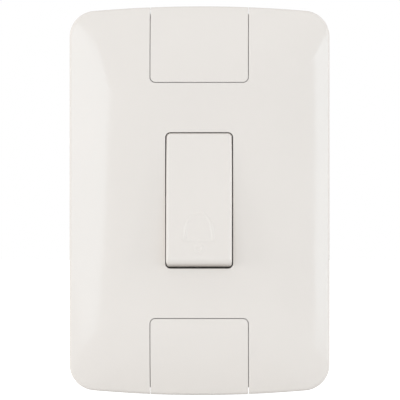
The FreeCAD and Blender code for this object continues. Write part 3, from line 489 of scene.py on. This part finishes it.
def threaded_rod(minor, major, pitch, length, tip):
    """A threaded rod from the origin up along Z: one turn's profile, wound up, cut square and pointed."""
    deselect()
    bpy.ops.mesh.primitive_plane_add(size=1, location=(0, 0, 0))
    rod = bpy.context.object
    edit(rod)
    bpy.ops.mesh.merge(type="CENTER")
    # The first ring starts off the planes of the two cuts, which would otherwise run through its corners.
    bpy.ops.transform.translate(value=(minor, 0, -1.37 * pitch))
    flank = pitch * 5 / 16
    for across, along in ((0, pitch / 4), (major - minor, flank), (0, pitch / 8), (minor - major, flank)):
        bpy.ops.mesh.extrude_region_move(TRANSFORM_OT_translate={"value": (across, 0, along)})
    apply(rod, "SCREW", axis="Z", angle=2 * math.pi, screw_offset=pitch,
          iterations=math.ceil(length / pitch) + 3, steps=40, render_steps=40)
    edit(rod)
    bpy.ops.mesh.remove_doubles(threshold=NEAR * 2)
    cut_below(rod, (0, 0, 0), (0, 0, 1))
    cut_below(rod, (0, 0, length), (0, 0, -1))
    # The taper starts at the origin, so the rod is drawn back while its end is pointed.
    edit(rod)
    bpy.ops.transform.translate(value=(0, 0, tip - length))
    apply(rod, "SIMPLE_DEFORM", deform_method="TAPER", deform_axis="Z", limits=(1 - tip / length, 1),
          factor=-0.45)
    edit(rod)
    bpy.ops.transform.translate(value=(0, 0, length - tip))
    bpy.ops.object.mode_set(mode="OBJECT")
    return rod


def screw_head(radius, height, neck, neck_radius, edge, steps, blades, blade_width, blade_depth):
    """A head below the origin with its neck up to it, and a slot for each blade of the driver."""
    deselect()
    bpy.ops.mesh.primitive_cylinder_add(vertices=72, radius=radius, depth=height,
                                        location=(0, 0, -neck - height / 2))
    head = settle(bpy.context.object)
    only(head)
    bpy.ops.object.mode_set(mode="EDIT")
    bpy.ops.mesh.select_mode(type="FACE")
    pick(head, -1, -neck - height * 0.99)
    bpy.ops.mesh.bevel(offset=edge, segments=steps, profile=0.5, affect="EDGES")
    pick(head, -neck - height * 0.01, 1)
    bpy.ops.mesh.inset(thickness=radius - neck_radius)
    bpy.ops.mesh.extrude_region_move(TRANSFORM_OT_translate={"value": (0, 0, neck + SEAT * MM)})
    bpy.ops.object.mode_set(mode="OBJECT")
    # A cross slot has short arms that narrow at their ends too; a single slot runs right across.
    crossed = len(blades) > 1
    slot = 4 * blade_width if crossed else 3 * radius
    end_taper = 0.86 if crossed else 1
    for angle in blades:
        deselect()
        # The slot narrows towards its floor, as the blade of the driver does.
        bpy.ops.mesh.primitive_cube_add(size=1, location=(0, 0, -neck - height))
        blade = bpy.context.object
        blade.scale = (slot, blade_width, 2 * blade_depth)
        settle(blade)
        edit(blade)
        bpy.ops.mesh.select_mode(type="FACE")
        pick(blade, -neck - height + blade_depth * 0.9, 1)
        bpy.ops.transform.resize(value=(end_taper, 0.82, 1))
        bpy.ops.object.mode_set(mode="OBJECT")
        blade.rotation_euler = (0, 0, angle)
        settle(blade)
        apply(head, "BOOLEAN", operation="DIFFERENCE", solver="EXACT", object=blade)
        drop(blade)
    return head


def finish_screw(rod, head, name, turn, spots, made, nodes):
    """Joins rod and head into one skin, and stands a copy at each spot in place of its CAD node."""
    apply(head, "BOOLEAN", operation="UNION", solver="EXACT", object=rod)
    drop(rod)
    edit(head)
    bpy.ops.mesh.normals_make_consistent(inside=False)
    bpy.ops.object.mode_set(mode="OBJECT")
    bpy.ops.object.shade_smooth_by_angle(angle=math.radians(28))
    head.data.materials.clear()
    head.data.materials.append(made)
    for spot, node in zip(spots, nodes):
        piece = head.copy()
        piece.data = head.data.copy()
        bpy.context.scene.collection.objects.link(piece)
        piece.name = piece.data.name = f"{name}_{node}"
        piece.rotation_euler = (turn, 0, 0)
        piece.location = spot
        settle(piece)
        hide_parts(node)
        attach(piece, "root")
    drop(head)


def middle(node):
    """The middle of a CAD node's box, and its low and high corners."""
    low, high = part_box(node)
    return (Vector(low) + Vector(high)) / 2, Vector(low), Vector(high)


class DOORBELL_OT_screws(bpy.types.Operator):
    """Model the box screws and the clamp screws in bright zinc, with their threads and slots"""
    bl_idname = "doorbell.screws"
    bl_label = "Screws"

    def execute(self, context):
        tints = context.scene.doorbell_finishes
        sizes = context.scene.doorbell_sizes
        # Bright zinc on a headed steel screw: bluish white, lightly hazed.
        zinc = metal("bright_zinc_plated_steel", tints.zinc, gloss=0.26, stretch=(1, 0.15, 1), line_mm=0.15,
                     line_height=0.002, stain=0.12)
        nodes = ("upper_box_screw", "lower_box_screw")
        centres = [middle(node) for node in nodes]
        length = centres[0][2].y
        neck = -centres[0][1].y - sizes.screw_head_rise
        spots = [(0, 0, centre[0].z) for centre in centres]
        rod = threaded_rod(sizes.screw_minor, sizes.screw_major, sizes.screw_pitch, length,
                           tip=sizes.screw_major / 2)
        head = screw_head(sizes.screw_head, sizes.screw_head_rise, neck, sizes.screw_neck,
                          sizes.screw_head_round, steps=7, blades=(0, math.pi / 2),
                          blade_width=sizes.cross_width, blade_depth=sizes.cross_depth)
        finish_screw(rod, head, "threaded", -math.pi / 2, spots, zinc, nodes)

        nodes = ("left_terminal_screw", "right_terminal_screw")
        centres = [middle(node) for node in nodes]
        over = sizes.clamp_head_rise + sizes.clamp_undercut
        shank = centres[0][2].z - centres[0][1].z - over
        rod = threaded_rod(sizes.clamp_minor, sizes.clamp_major, sizes.clamp_pitch, shank,
                           tip=sizes.clamp_edge)
        head = screw_head(sizes.clamp_head, sizes.clamp_head_rise, sizes.clamp_undercut,
                          sizes.clamp_minor - CLEAR * MM, sizes.clamp_edge, steps=3, blades=(0,),
                          blade_width=sizes.blade_width, blade_depth=sizes.blade_depth)
        spots = [(centre[0].x, centre[0].y, centre[2].z - over) for centre in centres]
        finish_screw(rod, head, "threaded", math.pi, spots, zinc, nodes)
        return {"FINISHED"}


class DOORBELL_OT_springs(bpy.types.Operator):
    """Wind the return spring that the plunger squeezes, and finish both springs in drawn steel wire"""
    bl_idname = "doorbell.springs"
    bl_label = "Springs"

    def execute(self, context):
        tints = context.scene.doorbell_finishes
        sizes = context.scene.doorbell_sizes
        # Drawn spring wire: dark steel with a satin skin.
        wire = metal("drawn_spring_steel", tints.wire, gloss=0.3, stretch=(1, 1, 1), line_mm=0.1,
                     line_height=0.001, stain=0.15)
        wear("contact_spring", wire)
        centre, low, high = middle("return_spring")
        rise = high.y - low.y - sizes.wire
        deselect()
        bpy.ops.mesh.primitive_circle_add(vertices=20, radius=sizes.wire / 2, fill_type="NGON",
                                          location=(sizes.coil, 0, 0), rotation=(math.pi / 2, 0, 0))
        spring = settle(bpy.context.object)
        spring.name = spring.data.name = "wound_return_spring"
        apply(spring, "SCREW", axis="Z", angle=-2 * math.pi * sizes.turns, screw_offset=rise,
              steps=64 * sizes.turns, render_steps=64 * sizes.turns)
        edit(spring)
        bpy.ops.mesh.remove_doubles(threshold=NEAR)
        bpy.ops.mesh.fill_holes(sides=0)
        bpy.ops.mesh.normals_make_consistent(inside=False)
        bpy.ops.object.mode_set(mode="OBJECT")
        bpy.ops.object.shade_smooth_by_angle(angle=math.radians(40))
        spring.rotation_euler = (-math.pi / 2, 0, 0)
        spring.location = (centre.x, low.y + sizes.wire / 2, centre.z)
        settle(spring)
        spring.data.materials.clear()
        spring.data.materials.append(wire)
        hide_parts("return_spring")
        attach(spring, "root")
        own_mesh(spring)
        return {"FINISHED"}


def softbox(name, shape, azimuth, elevation, width, height, radiance, tint, mirrored):
    """A soft lamp seen from the plate at this azimuth, left of the lens when negative, and elevation."""
    turn, lift = math.radians(azimuth), math.radians(elevation)
    way = Vector((math.sin(turn) * math.cos(lift), -math.cos(turn) * math.cos(lift), math.sin(lift)))
    lamp = bpy.data.lights.new(name, "AREA")
    lamp.shape = shape
    lamp.size, lamp.size_y = width, height
    area = width * height * (math.pi / 4 if shape == "ELLIPSE" else 1)
    lamp.energy = radiance * math.pi * area
    lamp.color = tint
    made = bpy.data.objects.new(name, lamp)
    bpy.context.scene.collection.objects.link(made)
    made.location = way * LAMP_DISTANCE
    made.rotation_euler = (-way).to_track_quat("-Z", "Y").to_euler()
    made.visible_camera = False
    made.visible_glossy = mirrored
    return made


class DOORBELL_OT_stage(bpy.types.Operator):
    """Set the floor, the lamps, the room light and the camera"""
    bl_idname = "doorbell.stage"
    bl_label = "Studio"

    def execute(self, context):
        studio = context.scene.doorbell_studio
        low = CAD_BOX[0].z
        deselect()
        bpy.ops.mesh.primitive_plane_add(size=FLOOR_SIDE, location=(0, 0, low - FLOOR_GAP))
        floor = bpy.context.object
        floor.name = floor.data.name = "studio_floor"
        made, tree, place = new_material("white_paper_floor")
        grain = add(tree, "ShaderNodeTexNoise", {"Vector": place, "Scale": per_mm(3), "Detail": 2.0})
        bump = add(tree, "ShaderNodeBump", {"Height": grain.outputs["Fac"], "Distance": 0.02 * MM})
        grey = (FLOOR_GREY, FLOOR_GREY, FLOOR_GREY)
        paper = add(tree, "ShaderNodeBsdfDiffuse", {"Color": (*grey, 1), "Normal": bump.outputs["Normal"]})
        glow = add(tree, "ShaderNodeEmission", {"Color": (1, 1, 1, 1), "Strength": FLOOR_GLOW})
        path = add(tree, "ShaderNodeLightPath")
        seen = add(tree, "ShaderNodeMath",
                   {0: path.outputs["Is Camera Ray"], 1: path.outputs["Is Glossy Ray"]}, operation="MAXIMUM")
        dark = add(tree, "ShaderNodeEmission", {"Strength": 0.0})
        lit = add(tree, "ShaderNodeMixShader",
                  {"Fac": seen.outputs[0], 1: dark.outputs[0], 2: glow.outputs[0]})
        both = add(tree, "ShaderNodeAddShader", {0: paper.outputs[0], 1: lit.outputs[0]})
        finish(made, tree, both, grey)
        # The glow is for the lens and for mirrored views; it isn't a lamp.
        made.cycles.emission_sampling = "NONE"
        floor.data.materials.append(made)

        world = bpy.data.worlds.new("studio_room")
        context.scene.world = world
        world.use_nodes = True
        air = world.node_tree
        air.nodes.clear()
        path = add(air, "ShaderNodeLightPath")
        seen = add(air, "ShaderNodeMath",
                   {0: path.outputs["Is Camera Ray"], 1: path.outputs["Is Glossy Ray"]}, operation="MAXIMUM")
        seen = add(air, "ShaderNodeMath", {0: seen.outputs[0], 1: path.outputs["Is Transmission Ray"]},
                   operation="MAXIMUM")
        room = add(air, "ShaderNodeBackground", {"Color": (1, 1, 1, 1), "Strength": studio.ambient})
        backdrop = add(air, "ShaderNodeBackground", {"Color": (1, 1, 1, 1), "Strength": 1.0})
        mixed = add(air, "ShaderNodeMixShader",
                    {"Fac": seen.outputs[0], 1: room.outputs[0], 2: backdrop.outputs[0]})
        add(air, "ShaderNodeOutputWorld", {"Surface": mixed.outputs[0]})

        softbox("left_softbox", *LEFT_SOFTBOX, studio.left, COOL, mirrored=True)
        softbox("right_softbox", *RIGHT_SOFTBOX, studio.right, COOL, mirrored=True)
        for name, (azimuth, elevation, width, height, radiance) in PANELS.items():
            softbox(name, "ELLIPSE", azimuth, elevation, width, height, radiance * studio.fill, NEUTRAL,
                    mirrored=False)

        eye = bpy.data.cameras.new("studio_camera")
        eye.sensor_width = SENSOR
        eye.lens = SENSOR * studio.distance / studio.width
        eye.shift_x = SHIFT[0] / PICTURE_SIDE
        eye.shift_y = SHIFT[1] / PICTURE_SIDE
        eye.clip_start, eye.clip_end = 0.05, 100
        camera = bpy.data.objects.new("studio_camera", eye)
        context.scene.collection.objects.link(camera)
        camera.location = (studio.camera_x, -studio.distance, studio.camera_z)
        aim = Vector((0, 0, 0)) - camera.location
        camera.rotation_euler = aim.to_track_quat("-Z", "Y").to_euler()
        context.scene.camera = camera
        context.scene.view_settings.view_transform = "Standard"
        return {"FINISHED"}


STEPS = (DOORBELL_OT_mouldings, DOORBELL_OT_key, DOORBELL_OT_bell, DOORBELL_OT_carriers, DOORBELL_OT_contacts,
         DOORBELL_OT_screws, DOORBELL_OT_springs, DOORBELL_OT_stage)


class DOORBELL_PT_panel(bpy.types.Panel):
    """Lists the steps that dress the doorbell push"""
    bl_idname = "DOORBELL_PT_panel"
    bl_label = "Doorbell push"
    bl_space_type = "VIEW_3D"
    bl_region_type = "UI"
    bl_category = "Doorbell"

    def draw(self, context):
        for step in STEPS:
            self.layout.operator(step.bl_idname)
        scene = context.scene
        for group in (scene.doorbell_finishes, scene.doorbell_sizes, scene.doorbell_studio):
            box = self.layout.box()
            for name in group.bl_rna.properties.keys():
                if name not in ("rna_type", "name"):
                    box.prop(group, name)


CLASSES = (DoorbellFinishes, DoorbellSizes, DoorbellStudio, *STEPS, DOORBELL_PT_panel)


def register():
    for cls in CLASSES:
        bpy.utils.register_class(cls)
    bpy.types.Scene.doorbell_finishes = PointerProperty(type=DoorbellFinishes)
    bpy.types.Scene.doorbell_sizes = PointerProperty(type=DoorbellSizes)
    bpy.types.Scene.doorbell_studio = PointerProperty(type=DoorbellStudio)


def unregister():
    del bpy.types.Scene.doorbell_finishes
    del bpy.types.Scene.doorbell_sizes
    del bpy.types.Scene.doorbell_studio
    for cls in reversed(CLASSES):
        bpy.utils.unregister_class(cls)


def main():
    register()
    bpy.ops.doorbell.mouldings()
    bpy.ops.doorbell.key()
    bpy.ops.doorbell.bell()
    bpy.ops.doorbell.carriers()
    bpy.ops.doorbell.contacts()
    bpy.ops.doorbell.screws()
    bpy.ops.doorbell.springs()
    bpy.ops.doorbell.stage()


if __name__ == "__main__":
    main()
